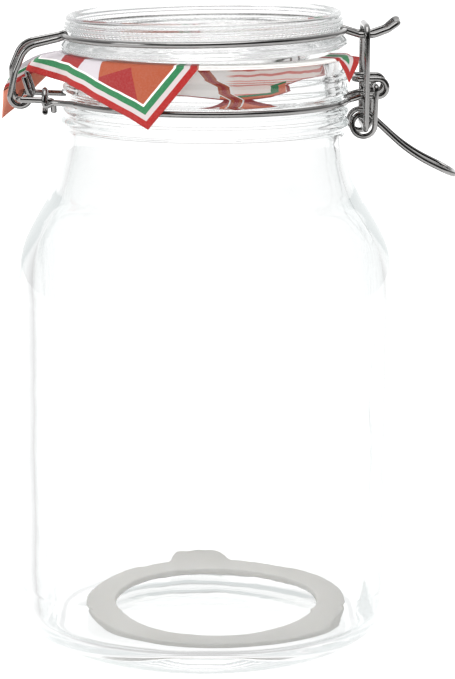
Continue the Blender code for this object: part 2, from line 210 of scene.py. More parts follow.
def clear_glass(name, ripple, tint, trapped_light):
    """Clear soda glass with the faint ripple of the mould and a cool tint where it is seen edge on.

    A ray that keeps running inside the wall ends in a pale glow, as in a room that is white all round.
    """
    made, g, shader = new_material(name)
    place = g.add("TexCoord").outputs["Object"]
    edge = g.add("LayerWeight", {"Blend": 0.35}).outputs["Facing"]
    seeds = g.ramp(g.noise(place, 900.0, 1.0), 0.78, 0.84)
    depth = g.add("LightPath").outputs["Ray Depth"]
    early = g.math("LESS_THAN", depth, TINTED_MEETINGS)
    colour = g.mix(g.math("MULTIPLY", g.math("POWER", edge, 2.0), early), (1.0, 1.0, 1.0), tint)
    g.feed(shader.inputs["Base Color"], g.mix(g.math("MULTIPLY", seeds, 0.03), colour, (0.8, 0.85, 0.85)))
    g.feed(shader.inputs["Roughness"], g.math("MULTIPLY", g.noise(place, 40.0), 0.012))
    g.feed(shader.inputs["Transmission Weight"], 1.0)
    g.feed(shader.inputs["IOR"], 1.5)
    waves = g.math("ADD", g.noise(place, 34.0, 2.0), g.math("MULTIPLY", g.noise(place, 160.0, 1.0), 0.12))
    g.feed(shader.inputs["Normal"], g.bump(waves, ripple, 1.0 * MM))
    glow = g.add("Emission", {"Color": (0.93, 0.97, 0.97, 1.0), "Strength": trapped_light})
    ends = g.add("MixShader", {"Fac": g.math("GREATER_THAN", depth, LONG_PATH)})
    g.feed(ends.inputs[1], shader.outputs[0])
    g.feed(ends.inputs[2], glow.outputs[0])
    g.feed(made.node_tree.nodes["Material Output"].inputs["Surface"], ends.outputs[0])
    return made


def drawn_wire():
    """Bright drawn steel: fine streaks run along the wire, and its brightness drifts a little."""
    made, g, shader = new_material("drawn_steel_wire")
    uv = g.add("TexCoord").outputs["UV"]
    along = g.add("Mapping", {"Scale": (45.0, 26.0, 1.0)})
    g.feed(along.inputs["Vector"], uv)
    streaks = g.noise(along.outputs["Vector"], 1.0, 4.0, 0.65)
    place = g.add("TexCoord").outputs["Object"]
    drift = g.noise(place, 130.0, 3.0)
    pits = g.ramp(g.noise(place, 1400.0, 2.0), 0.66, 0.74)
    shade = g.mix(g.ramp(streaks, 0.3, 0.7), srgb(110, 109, 108), srgb(158, 157, 156))
    shade = g.mix(g.math("MULTIPLY", g.ramp(drift, 0.45, 0.75), 0.3), shade, srgb(112, 110, 109))
    g.feed(shader.inputs["Base Color"], g.mix(g.math("MULTIPLY", pits, 0.35), shade, srgb(105, 100, 96)))
    g.feed(shader.inputs["Metallic"], 1.0)
    rough = g.math("ADD", g.math("MULTIPLY", streaks, 0.16), g.math("MULTIPLY", drift, 0.08))
    g.feed(shader.inputs["Roughness"], rough)
    height = g.math("SUBTRACT", streaks, g.math("MULTIPLY", pits, 0.6))
    g.feed(shader.inputs["Normal"], g.bump(height, 0.35, 0.05 * MM))
    return made


def pale_rubber():
    """Moulded rubber: a warm pale grey with fine grain, cloudy patches and a little dust."""
    made, g, shader = new_material("pale_rubber")
    place = g.add("TexCoord").outputs["Object"]
    cloud = g.noise(place, 45.0, 3.0)
    grain = g.noise(place, 2600.0, 3.0)
    dust = g.ramp(g.noise(place, 700.0, 2.0), 0.68, 0.8)
    colour = g.mix(cloud, srgb(230, 229, 223), srgb(241, 240, 236))
    g.feed(shader.inputs["Base Color"], g.mix(g.math("MULTIPLY", dust, 0.4), colour, srgb(247, 247, 245)))
    g.feed(shader.inputs["Roughness"], g.math("ADD", 0.5, g.math("MULTIPLY", grain, 0.25)))
    g.feed(shader.inputs["Subsurface Weight"], 0.08)
    g.feed(shader.inputs["Subsurface Radius"], (0.002, 0.0018, 0.0015))
    height = g.math("ADD", g.math("MULTIPLY", grain, 0.4), cloud)
    g.feed(shader.inputs["Normal"], g.bump(height, 0.4, 0.12 * MM))
    return made


RED = srgb(162, 20, 18)
GREEN = srgb(28, 118, 72)
PALE = srgb(200, 190, 190)
LAVENDER = srgb(198, 192, 197)
WHITE = srgb(240, 239, 236)
TERRACOTTA = srgb(164, 78, 48)
DEEP_RED = srgb(150, 34, 36)
PEACH = srgb(222, 126, 102)


def border_stripes(g, colour):
    """White, green, pale and red bands along the sheet's edges, over the colour of its middle."""
    hem = g.math("MINIMUM", g.attribute("hem_a"), g.attribute("hem_b"))
    for edge, paint in ((7.0, WHITE), (6.3, GREEN), (4.1, PALE), (2.4, RED)):
        colour = g.mix(g.math("LESS_THAN", hem, edge), colour, paint)
    return colour


def patches(g):
    """Plain patches of colour: a fan of three wedges, then pale and red fields to its left."""
    spread, drop = g.attribute("spread"), g.attribute("drop")
    fan_spread, fan_drop = -7.5, 0.4
    turn = g.math("ARCTAN2", g.math("SUBTRACT", fan_drop, drop), g.math("SUBTRACT", spread, fan_spread))
    colour = g.mix(g.math("LESS_THAN", turn, math.radians(-74)), TERRACOTTA, DEEP_RED)
    colour = g.mix(g.math("LESS_THAN", turn, math.radians(-162)), colour, TERRACOTTA)
    colour = g.mix(g.math("LESS_THAN", spread, fan_spread - 13.7), colour, LAVENDER)
    slant = g.math("ADD", spread, g.math("MULTIPLY", drop, 0.8))
    colour = g.mix(g.math("LESS_THAN", slant, fan_spread - 24.0), colour, DEEP_RED)
    colour = g.mix(g.math("LESS_THAN", spread, fan_spread - 42.0), colour, LAVENDER)
    return g.mix(g.math("GREATER_THAN", spread, 17.5), colour, WHITE)


def folded_inside(g, colour):
    """The part that hangs in the mouth: white, with a slanting red strip and a green and orange foot."""
    spread, drop = g.attribute("spread"), g.attribute("drop")
    strip = g.math("SUBTRACT", spread, g.math("MULTIPLY", drop, 1.25))
    strip = g.math("ABSOLUTE", g.math("SUBTRACT", strip, 16.0))
    inner = g.mix(g.ramp(spread, 26.0, 36.0), WHITE, srgb(238, 224, 218))
    wave = g.add("TexWave", {"Scale": 0.1, "Distortion": 3.0, "Detail": 1.0})
    join = g.add("CombineXYZ")
    g.feed(join.inputs["X"], g.math("MULTIPLY", drop, 2.0))
    g.feed(join.inputs["Y"], spread)
    g.feed(wave.inputs["Vector"], join.outputs[0])
    streak = g.math("MULTIPLY", g.ramp(wave.outputs["Fac"], 0.62, 0.72), g.ramp(spread, 27.0, 33.0))
    inner = g.mix(streak, inner, srgb(205, 105, 95))
    hem = g.attribute("hem_b")
    foot = g.math("MULTIPLY", g.math("GREATER_THAN", spread, 26.0), g.math("LESS_THAN", spread, 56.0))
    lens = g.math("MULTIPLY", foot, g.math("LESS_THAN", hem, 3.6))
    inner = g.mix(lens, inner, GREEN)
    inner = g.mix(g.math("MULTIPLY", foot, g.math("LESS_THAN", hem, 2.2)), inner, srgb(206, 112, 84))
    inner = g.mix(g.math("LESS_THAN", hem, 0.7), inner, DEEP_RED)
    inner = g.mix(g.math("LESS_THAN", strip, 3.2), inner, WHITE)
    inner = g.mix(g.math("LESS_THAN", strip, 2.5), inner, TERRACOTTA)
    inner = g.mix(g.math("LESS_THAN", strip, 1.0), inner, DEEP_RED)
    return g.mix(g.attribute("inside"), colour, inner)


def printed_paper(name, printed):
    """Coated paper: the printed face has the border and the patches, the reverse is a soft peach. The part
    that hangs in the mouth glows faintly in its own colour, which is painted light standing in for light
    coming through the paper from behind.
    """
    made, g, shader = new_material(name)
    place = g.add("TexCoord").outputs["Object"]
    fibre = g.noise(place, 1500.0, 4.0, 0.7)
    cloud = g.noise(place, 60.0, 2.0)
    if printed:
        colour = border_stripes(g, patches(g))
    else:
        colour = g.mix(g.ramp(cloud, 0.35, 0.7), PEACH, srgb(232, 160, 134))
    colour = folded_inside(g, colour)
    worn = g.mix(g.math("MULTIPLY", g.ramp(fibre, 0.35, 0.75), 0.035), colour, WHITE)
    g.feed(shader.inputs["Base Color"], g.mix(g.math("MULTIPLY", cloud, 0.1), worn, srgb(150, 120, 115)))
    g.feed(shader.inputs["Roughness"], g.math("ADD", 0.42, g.math("MULTIPLY", fibre, 0.2)))
    g.feed(shader.inputs["Specular IOR Level"], 0.15)
    # Painted light: the part inside the mouth glows at 0.3 times its colour, in place of light that shines
    # through the paper from behind
    g.feed(shader.inputs["Emission Color"], colour)
    g.feed(shader.inputs["Emission Strength"], g.math("MULTIPLY", g.attribute("inside"), 0.3))
    height = g.math("ADD", fibre, g.math("MULTIPLY", cloud, 2.0))
    g.feed(shader.inputs["Normal"], g.bump(height, 0.3, 0.08 * MM))
    return made


# Meshes --------------------------------------------------------------------------------------------


def show(name, mesh, materials, body, node):
    """A finished piece with the given materials that rides on a body and takes the place of a frame node,
    which it hides.
    """
    piece = bpy.data.objects.new(name, mesh)
    for material in materials:
        mesh.materials.append(material)
    bpy.context.scene.collection.objects.link(piece)
    mesh.shade_smooth()
    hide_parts(node)
    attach(piece, body)
    return piece


def loft(name, rings, transform=Matrix.Identity(4)):
    """A closed mesh through rings of points, with a flat face over the first ring and the last."""
    bm = bmesh.new()
    made = [[bm.verts.new(point) for point in ring] for ring in rings]
    for lower, upper in zip(made, made[1:]):
        for i in range(len(lower)):
            j = (i + 1) % len(lower)
            bm.faces.new((lower[i], lower[j], upper[j], upper[i]))
    bm.faces.new(reversed(made[0]))
    bm.faces.new(made[-1])
    bmesh.ops.transform(bm, matrix=transform, verts=bm.verts)
    bmesh.ops.recalc_face_normals(bm, faces=bm.faces)
    mesh = bpy.data.meshes.new(name)
    bm.to_mesh(mesh)
    bm.free()
    return mesh


def through(controls, steps):
    """A smooth curve of tuples through the controls, with the given number of steps between two of them."""
    last = len(controls) - 1
    curve = []
    for i in range(last):
        a, b, c, d = (controls[max(0, min(last, i + k))] for k in (-1, 0, 1, 2))
        for step in range(steps):
            t = step / steps
            curve.append(
                tuple(
                    0.5
                    * (
                        2 * q
                        + (r - p) * t
                        + (2 * p - 5 * q + 4 * r - s) * t**2
                        + (3 * q - p - 3 * r + s) * t**3
                    )
                    for p, q, r, s in zip(a, b, c, d)
                )
            )
    return curve + [controls[last]]


# Glass body ----------------------------------------------------------------------------------------


def square_ring(half_width, corner, z, dent=0.0, shift=0.0):
    """Points round a square with rounded corners; a dent pulls the middle of each side inwards."""
    centre = half_width - corner
    ring = []
    for i in range(BODY_SIDES):
        angle = 2 * math.pi * i / BODY_SIDES
        c, s = abs(math.cos(angle)), abs(math.sin(angle))
        reach = half_width / max(c, s)
        if min(c, s) * reach > centre:
            along = centre * (c + s)
            reach = along + math.sqrt(along**2 - 2 * centre**2 + corner**2)
        side = min(c, s) * reach / (40 * MM)
        reach -= dent * max(0.0, 1 - side**2) ** 2
        ring.append(Vector((reach * math.cos(angle) + shift, reach * math.sin(angle), z)))
    return ring


def rise(value, low, high):
    """A smooth step from 0 at low to 1 at high."""
    t = max(0.0, min(1.0, (value - low) / (high - low)))
    return t * t * (3 - 2 * t)


def body_ring(half_width, corner, z, inner=False):
    window = rise(z, 27 * MM, 52 * MM) * (1 - rise(z, 118 * MM, 146 * MM))
    shift = CAVITY_SHIFT * (1 - rise(z, 120 * MM, 180 * MM)) if inner else 0.0
    return square_ring(half_width, corner, z, FACE_DENT * window, shift)


def shoulder(inset):
    controls = (
        (68.3, 40.0, 132.0),
        (68.3, 40.0, 138.0),
        (67.6, 41.5, 146.0),
        (65.6, 44.5, 153.0),
        (61.8, 49.0, 160.0),
        (57.2, 53.0, 167.5),
        (54.4, 54.0, 175.5),
        (52.8, 52.8, 183.0),
    )
    return through([(w * MM - inset, min(w, r) * MM - inset, z * MM) for w, r, z in controls], 5)


def foot():
    """(half width, corner radius, height) from the middle of the pushed-up base to the straight body."""
    controls = (
        (3.0, 3.0, 3.4),
        (18.0, 18.0, 3.2),
        (33.0, 33.0, 2.6),
        (45.0, 45.0, 1.5),
        (52.0, 52.0, 0.4),
        (56.0, 56.0, 0.0),
        (59.0, 59.0, 0.0),
        (61.2, 60.2, 1.0),
        (64.0, 59.0, 3.6),
        (66.2, 54.0, 8.0),
        (67.5, 48.0, 14.0),
        (68.2, 43.0, 20.0),
        (68.3, 40.0, 27.0),
    )
    return through([(w * MM, min(w, r) * MM, max(0.0, z) * MM) for w, r, z in controls], 5)


def bed():
    """The same sizes inside the jar, from the middle of the floor to the straight wall."""
    controls = (
        (3.0, 3.0, 6.4),
        (17.0, 16.0, 6.5),
        (34.0, 31.0, 6.8),
        (46.0, 41.0, 7.0),
        (53.0, 47.0, 7.0),
        (57.0, 50.0, 7.1),
        (61.0, 49.5, 9.0),
        (63.0, 45.0, 13.0),
        (63.8, 39.5, 19.0),
        (63.9, 35.6, 27.0),
    )
    return through([(w * MM, r * MM, z * MM) for w, r, z in controls], 5)


def neck():
    """The outside of the neck upwards from its foot, over the rim and down inside the mouth."""
    low, high = NECK_WIRE_Z - GROOVE_HALF, NECK_WIRE_Z + GROOVE_HALF
    outline = [(NECK_RADIUS, 187 * MM), (NECK_RADIUS - 0.3 * MM, 191 * MM)]
    for i in range(9):
        bulge = 0.9 * MM * math.sin(math.pi * i / 8) - 0.5 * MM
        outline.append((COLLAR_RADIUS + bulge, (192.4 + 0.4 * i) * MM))
    outline += [(COLLAR_RADIUS - step * MM, z * MM) for step, z in ((0.9, 196.4), (0.2, 197.3), (0.0, 198.0))]
    for i in range(11):
        share = i / 10
        depth = (COLLAR_RADIUS - GROOVE_RADIUS) * math.sin(math.pi * share) ** 0.5
        outline.append((COLLAR_RADIUS - depth, low + (high - low) * share))
    for centre in (208.6, 213.2):
        for i in range(9):
            share = i / 8
            groove = 0.35 * MM * math.sin(math.pi * share)
            outline.append((COLLAR_RADIUS - groove, (centre - 1.6 + 3.2 * share) * MM))
    round_edge = 1.3 * MM
    for i in range(9):
        angle = math.pi / 2 * i / 8
        outline.append(
            (COLLAR_RADIUS - round_edge * (1 - math.cos(angle)), RIM_TOP - round_edge * (1 - math.sin(angle)))
        )
    for i in range(9):
        angle = math.pi / 2 * i / 8
        outline.append(
            (MOUTH_RADIUS + round_edge * (1 - math.sin(angle)), RIM_TOP - round_edge * (1 - math.cos(angle)))
        )
    outline += through(
        [
            (MOUTH_RADIUS, 214 * MM),
            (MOUTH_RADIUS, 207 * MM),
            (MOUTH_RADIUS + 1.5 * MM, 198 * MM),
            (NECK_RADIUS - WALL, 186 * MM),
        ],
        5,
    )
    return [(r, r, z) for r, z in outline]


def build_jar(glass):
    upright = [(34 + 8 * i) * MM for i in range(12)]
    outside = foot() + [(HALF_WIDTH, CORNER_RADIUS, z) for z in upright] + shoulder(0.0) + neck()
    inside = list(reversed(shoulder(WALL)))[1:]
    inside += [(HALF_WIDTH - WALL, CORNER_RADIUS - WALL, z) for z in reversed(upright)]
    inside += reversed(bed())
    rings = [body_ring(*section) for section in outside]
    rings += [body_ring(*section, inner=True) for section in inside]
    mesh = loft("jar_glass", rings)
    return show("jar_glass", mesh, [glass], "jar", "jar_body")


# Lid -----------------------------------------------------------------------------------------------


def hinge_tilt():
    return Matrix.Translation(HINGE) @ Matrix.Rotation(-LID_TILT, 4, "Y") @ Matrix.Translation(-HINGE)


def bead(radius, low, high, bulge, steps=6):
    """Points up a side with one rounded ridge."""
    return [
        (radius + bulge * math.sin(math.pi * i / steps), low + (high - low) * i / steps)
        for i in range(steps + 1)
    ]


def build_lid(glass):
    """A turned piece, from the middle below, up the outside and over to the middle of the dished top."""
    top = LID_Z + LID_HEIGHT
    dish = LID_Z + 7.5 * MM
    flange = LID_FLANGE_RADIUS - 0.5 * MM
    outline = through(
        [
            (0.5 * MM, LID_Z + 1.8 * MM),
            (12 * MM, LID_Z + 1.75 * MM),
            (24 * MM, LID_Z + 1.5 * MM),
            (PLUG_RADIUS - 8.0 * MM, LID_Z + 1.0 * MM),
            (PLUG_RADIUS - 4.5 * MM, LID_Z - PLUG_DEPTH + 0.7 * MM),
            (PLUG_RADIUS - 2.4 * MM, LID_Z - PLUG_DEPTH),
            (PLUG_RADIUS - 0.6 * MM, LID_Z - PLUG_DEPTH + 0.5 * MM),
            (PLUG_RADIUS, LID_Z - 3.5 * MM),
            (PLUG_RADIUS + 0.6 * MM, LID_Z - 1.0 * MM),
            (PLUG_RADIUS + 2.0 * MM, LID_Z),
        ],
        4,
    )
    outline += [(44 * MM, LID_Z), (48 * MM, LID_Z), (flange - 0.6 * MM, LID_Z), (flange, LID_Z + 0.4 * MM)]
    outline += bead(flange, LID_Z + 0.5 * MM, LID_Z + 1.5 * MM, 0.45 * MM)
    outline += bead(flange, LID_Z + 1.5 * MM, LID_Z + 2.6 * MM, 0.35 * MM)[1:]
    outline += through(
        [
            (flange, LID_Z + 2.6 * MM),
            (flange - 0.9 * MM, LID_WIRE_Z - 2.1 * MM),
            (LID_GROOVE_RADIUS + 0.3 * MM, LID_WIRE_Z - 1.3 * MM),
            (LID_GROOVE_RADIUS, LID_WIRE_Z),
            (LID_GROOVE_RADIUS + 0.3 * MM, LID_WIRE_Z + 1.2 * MM),
            (51.0 * MM, LID_WIRE_Z + 2.1 * MM),
        ],
        4,
    )[1:]
    outline += bead(50.8 * MM, LID_WIRE_Z + 2.2 * MM, LID_WIRE_Z + 3.5 * MM, 0.5 * MM)
    outline += bead(50.5 * MM, LID_WIRE_Z + 3.5 * MM, LID_WIRE_Z + 4.9 * MM, 0.5 * MM)[1:]
    outline += through(
        [
            (50.3 * MM, LID_WIRE_Z + 5.1 * MM),
            (50.6 * MM, top - 1.3 * MM),
            (50.2 * MM, top - 0.5 * MM),
            (49.3 * MM, top),
            (48.4 * MM, top - 0.2 * MM),
            (47.6 * MM, top - 0.9 * MM),
            (46.8 * MM, dish + 2.2 * MM),
            (45.8 * MM, dish + 0.7 * MM),
            (44.0 * MM, dish),
            (36 * MM, dish - 0.3 * MM),
            (20 * MM, dish + 0.2 * MM),
            (0.5 * MM, dish + 0.4 * MM),
        ],
        4,
    )
    teeth = 160
    rings = []
    for radius, z in outline:
        knurl = 0.12 * MM if 44.5 * MM < radius < 47.0 * MM and z > dish else 0.0
        ring = []
        for i in range(LID_SIDES):
            angle = 2 * math.pi * i / LID_SIDES
            reach = radius + knurl * math.cos(teeth * angle)
            ring.append(Vector((reach * math.cos(angle), reach * math.sin(angle), z)))
        rings.append(ring)
    mesh = loft("lid_glass", rings, hinge_tilt())
    return show("lid_glass", mesh, [glass], "lid", "lid")


# Wires ---------------------------------------------------------------------------------------------


def ring_point(radius, azimuth_deg, z):
    angle = math.radians(azimuth_deg)
    return Vector((radius * math.cos(angle), radius * math.sin(angle), z))


def ring_arc(radius, z, start_deg, end_deg, step_deg=2.5):
    count = max(1, round(abs(end_deg - start_deg) / step_deg))
    return [
        (ring_point(radius, start_deg + (end_deg - start_deg) * i / count, z), 0.0) for i in range(count + 1)
    ]


def rounded(corners):
    """The path through (point, bend radius) pairs, with an arc in place of each corner that has a radius."""
    path = []
    for i, (corner, radius) in enumerate(corners):
        if radius == 0.0 or i in (0, len(corners) - 1):
            path.append(corner)
            continue
        before = (corners[i - 1][0] - corner).normalized()
        after = (corners[i + 1][0] - corner).normalized()
        half = before.angle(after) / 2
        reach = radius / math.tan(half)
        centre = corner + (before + after).normalized() * radius / math.sin(half)
        first = corner + before * reach - centre
        last = corner + after * reach - centre
        turn = first.angle(last)
        axis = first.cross(last).normalized()
        for step in range(BEND_STEPS + 1):
            path.append(centre + Matrix.Rotation(turn * step / BEND_STEPS, 3, axis) @ first)
    return path


def mirrored(points):
    """The same points on the other side of the XZ plane, in reverse order."""
    return [(Vector((p.x, -p.y, p.z)), r) for p, r in reversed(points)]


def tangents(path, cyclic):
    count = len(path)
    found = []
    for i in range(count):
        before = path[(i - 1) % count] if cyclic or i else path[0]
        after = path[(i + 1) % count] if cyclic or i < count - 1 else path[-1]
        found.append((after - before).normalized())
    return found


def wire_rings(path, radius, cyclic):
    """(centre, frame side, frame up, radius, length so far) at each station, without twist."""
    if not cyclic:
        cut, full = 0.12 * radius, 0.45 * radius
        start = (path[1] - path[0]).normalized()
        end = (path[-2] - path[-1]).normalized()
        opening = [path[0], path[0] + start * cut, path[0] + start * full]
        closing = [path[-1] + end * full, path[-1] + end * cut, path[-1]]
        path = opening + path[1:-1] + closing
        sizes = [0.72 * radius, 0.9 * radius] + [radius] * (len(path) - 4) + [0.9 * radius, 0.72 * radius]
    else:
        sizes = [radius] * len(path)
    heading = tangents(path, cyclic)
    side = heading[0].orthogonal().normalized()
    rings, length = [], 0.0
    for i, (place, ahead) in enumerate(zip(path, heading)):
        if i:
            length += (place - path[i - 1]).length
            side = (side - ahead * side.dot(ahead)).normalized()
        rings.append((place, side.copy(), ahead.cross(side), sizes[i], length))
    return rings


def build_wire(name, path, radius, cyclic, steel, body, node, transform=Matrix.Identity(4)):
    """A round wire swept along the path. Its UVs are the length in metres and the way round."""
    clean = [path[0]]
    for place in path[1:]:
        if (place - clean[-1]).length > 0.02 * MM:
            clean.append(place)
    rings = wire_rings(clean, radius, cyclic)
    bm = bmesh.new()
    uv = bm.loops.layers.uv.new("UVMap")
    made = []
    for place, side, up, size, _ in rings:
        ring = []
        for k in range(WIRE_SIDES):
            angle = 2 * math.pi * k / WIRE_SIDES
            ring.append(bm.verts.new(place + (side * math.cos(angle) + up * math.sin(angle)) * size))
        made.append(ring)
    last = len(made) - 1
    for i in range(len(made) if cyclic else last):
        near, far = made[i], made[(i + 1) % len(made)]
        offset = 0
        if i == last:
            offset = min(range(WIRE_SIDES), key=lambda k: (far[k].co - near[0].co).length)
        far_length = rings[i + 1][4] if i < last else rings[i][4] + (rings[0][0] - rings[i][0]).length
        for k in range(WIRE_SIDES):
            m = (k + 1) % WIRE_SIDES
            far_k, far_m = far[(k + offset) % WIRE_SIDES], far[(m + offset) % WIRE_SIDES]
            face = bm.faces.new((near[k], near[m], far_m, far_k))
            spots = ((rings[i][4], k), (rings[i][4], k + 1), (far_length, k + 1), (far_length, k))
            for loop, (length, turn) in zip(face.loops, spots):
                loop[uv].uv = (length, turn / WIRE_SIDES)
    if not cyclic:
        bm.faces.new(reversed(made[0]))
        bm.faces.new(made[-1])
    bmesh.ops.transform(bm, matrix=transform, verts=bm.verts)
    bmesh.ops.recalc_face_normals(bm, faces=bm.faces)
    mesh = bpy.data.meshes.new(name)
    bm.to_mesh(mesh)
    bm.free()
    piece = show(name, mesh, [steel], body, node)
    mesh.set_sharp_from_angle(angle=math.radians(50))
    return piece


def closed_position(place):
    """Where a point of the tilted lid lies before the tilt."""
    return HINGE + Matrix.Rotation(LID_TILT, 3, "Y") @ (place - HINGE)


def lid_wire_half(lean, lift):
    """One side, from its stub: hook, arm, half ring and a side of the thumb loop, given on the far side.

    The lean sets the arm further back, and the lift raises the tip of the thumb loop.
    """
    hook_x = HINGE.x + 0.6 * MM
    hook_z = HINGE.z + 1.0 * MM
    turn_deg = math.degrees(math.asin(ARM_Y / LID_WIRE_RADIUS))
    hook = [(Vector((hook_x + 1.7 * MM, ARM_Y, HINGE.z + 8.0 * MM)), 0.0)]
    for step in range(HOOK_STEPS + 1):
        angle = -math.pi * step / HOOK_STEPS
        place = (hook_x + HOOK_RADIUS * math.cos(angle), ARM_Y, hook_z + HOOK_RADIUS * math.sin(angle))
        hook.append((Vector(place), 0.0))
    arm = [
        (Vector((-69.0 * MM - lean, ARM_Y, 212.5 * MM)), 6 * MM),
        (Vector((-65.0 * MM - lean, ARM_Y, 221.6 * MM)), 8 * MM),
        (Vector((-53.0 * MM, ARM_Y, 224.2 * MM)), 3 * MM),
        (ring_point(LID_WIRE_RADIUS, 180 - turn_deg, LID_WIRE_Z), 1.2 * MM),
    ]
    ring_end = math.degrees(math.asin(NOSE_Y / LID_WIRE_RADIUS))
    half_ring = ring_arc(LID_WIRE_RADIUS, LID_WIRE_Z, 164, ring_end + 5)
    nose_tip = closed_position(NOSE_TIP)
    nose = [
        (ring_point(LID_WIRE_RADIUS, ring_end, LID_WIRE_Z), 1.2 * MM),
        (closed_position(Vector((56.0 * MM, NOSE_Y, NOSE_Z))), 2 * MM),
        (closed_position(Vector((61.5 * MM, NOSE_Y + 0.6 * MM, NOSE_Z))), 4 * MM),
        (closed_position(Vector((66.5 * MM, NOSE_Y, NOSE_Z + 1.8 * MM))), 3 * MM),
        (Vector((nose_tip.x, 3.4 * MM, nose_tip.z + lift)), 2.2 * MM),
    ]
    return hook + arm + half_ring + nose


def lid_wire_path():
    """From the far stub to the near stub. The wire is bent by hand, so its far side is a little different."""
    far = lid_wire_half(FAR_LEAN, FAR_LIFT)
    near = lid_wire_half(0.0, 0.0)
    return rounded(far + [(closed_position(NOSE_TIP), 0.0)] + mirrored(near))


def neck_wire_path():
    """From the eye on the near leg: half ring, ears, half ring, bracket, and the near leg through the eye."""
    eye = []
    steps = 36
    for step in range(steps + 1):
        angle = math.radians(-115 + 295 * step / steps)
        place = (EYE_X, -LEG_Y + EYE_RADIUS * math.cos(angle), NECK_WIRE_Z + EYE_RADIUS * math.sin(angle))
        eye.append((Vector(place), 0.0))
    eye_foot = Vector((EYE_X, -LEG_Y - EYE_RADIUS, NECK_WIRE_Z - 1.6 * MM))
    eye_exit = Vector((EYE_X + 3.5 * MM, -LEG_Y - EYE_RADIUS - 0.8 * MM, NECK_WIRE_Z))
    front = ring_arc(NECK_WIRE_RADIUS, NECK_WIRE_Z, 205, 345)
    root_deg = math.degrees(math.asin(EAR_Y / NECK_WIRE_RADIUS))
    ear = [
        (ring_point(NECK_WIRE_RADIUS, 360 - root_deg, NECK_WIRE_Z), 1.6 * MM),
        (Vector((57.0 * MM, -EAR_Y, EAR_LOW_Z)), 2.5 * MM),
        (Vector((EAR_END_X, -EAR_Y, EAR_LOW_Z)), 3.1 * MM),
        (Vector((EAR_END_X, -EAR_Y, EAR_TOP_Z)), 3.1 * MM),
        (Vector((EAR_BAR_X, -EAR_Y, EAR_TOP_Z)), 2.0 * MM),
    ]
    back = ring_arc(NECK_WIRE_RADIUS, NECK_WIRE_Z, 15, 160)
    leg_root_x = -math.sqrt(NECK_WIRE_RADIUS**2 - LEG_Y**2)
    bracket = [
        (Vector((leg_root_x - 1.0 * MM, LEG_Y, NECK_WIRE_Z)), 2.4 * MM),
        (Vector((HINGE.x, LEG_Y, HINGE.z)), 1.8 * MM),
        (Vector((HINGE.x, -LEG_Y, HINGE.z)), 1.8 * MM),
        (Vector((EYE_X + 3.0 * MM, -LEG_Y, NECK_WIRE_Z + 0.2 * MM)), 1.6 * MM),
        (Vector((EYE_X + 3.2 * MM, -LEG_Y + 0.3 * MM, NECK_WIRE_Z - 4.2 * MM)), 0.0),
    ]
    start = eye + [(eye_foot, 0.8 * MM), (eye_exit, 1.5 * MM)]
    return rounded(start + front + ear + mirrored(ear) + back + bracket)


def link_path():
    corners = [
        (Vector((LINK_AXIS.x, 0, LINK_AXIS.z)), 0.0),
        (Vector((LINK_AXIS.x, LINK_Y, LINK_AXIS.z)), 2.4 * MM),
        (Vector((LINK_AXIS.x, LINK_Y, LINK_TOP_Z)), 4.6 * MM),
        (Vector((LINK_AXIS.x, -LINK_Y, LINK_TOP_Z)), 4.6 * MM),
        (Vector((LINK_AXIS.x, -LINK_Y, LINK_AXIS.z)), 2.4 * MM),
        (Vector((LINK_AXIS.x, 0, LINK_AXIS.z)), 0.0),
    ]
    return rounded(corners)[:-1]


def lever_path():
    """From the near pin: leg, eye, handle, and the same again on the far side."""
    half = [
        (Vector((PIVOT.x, -EAR_Y + 2.4 * MM, PIVOT.z)), 0.0),
        (Vector((PIVOT.x, -LEVER_Y, PIVOT.z)), 1.4 * MM),
        (Vector((LEVER_EYE.x + LEVER_EYE_RADIUS, -LEVER_Y, LEVER_EYE.z + 2.0 * MM)), 0.0),
    ]
    leave_deg = 47
    steps = 44
    for step in range(steps + 1):
        angle = -math.radians((360 - leave_deg) * step / steps)
        place = (
            LEVER_EYE.x + LEVER_EYE_RADIUS * math.cos(angle),
            -LEVER_Y + (LEVER_Y - LEVER_INNER_Y) * step / steps,
            LEVER_EYE.z + LEVER_EYE_RADIUS * math.sin(angle),
        )
        half.append((Vector(place), 0.0))
    half += [
        (Vector((HANDLE_BEND.x, -HANDLE_Y, HANDLE_BEND.z)), 55 * MM),
        (Vector((HANDLE_TIP.x, -HANDLE_Y, HANDLE_TIP.z)), 7 * MM),
    ]
    return rounded(half + mirrored(half))


# Sealing ring --------------------------------------------------------------------------------------


